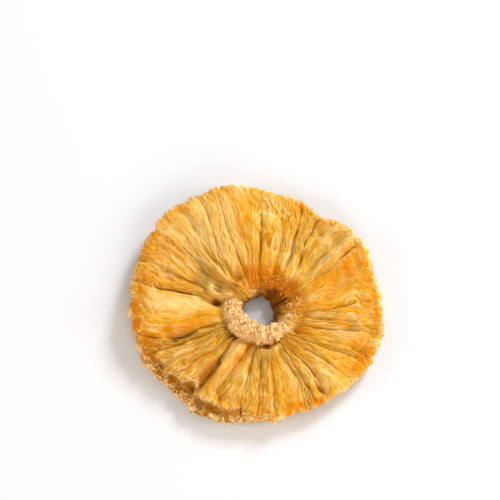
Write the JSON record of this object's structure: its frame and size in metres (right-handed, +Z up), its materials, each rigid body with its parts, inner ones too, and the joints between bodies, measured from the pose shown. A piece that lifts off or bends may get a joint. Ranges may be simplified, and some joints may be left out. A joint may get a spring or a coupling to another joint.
{
  "type": "dried pineapple ring",
  "caption": "Thin cored slice of dried pineapple, wrinkled along its radial fibres, with a collar round the core hole.",
  "frame": {"origin": "centre of the ring's bounding box at the level surface it rests on", "axes": "+Z up through the ring's shown face; +Y towards the widest side of the flesh, away from the viewer"},
  "size_m": [0.08, 0.0788, 0.0089],
  "materials": {
    "dried_flesh": "golden dried fruit, satin and slightly tacky"
  },
  "bodies": {
    "root": {"pineapple_ring": "dried_flesh"}
  },
  "joints": []
}
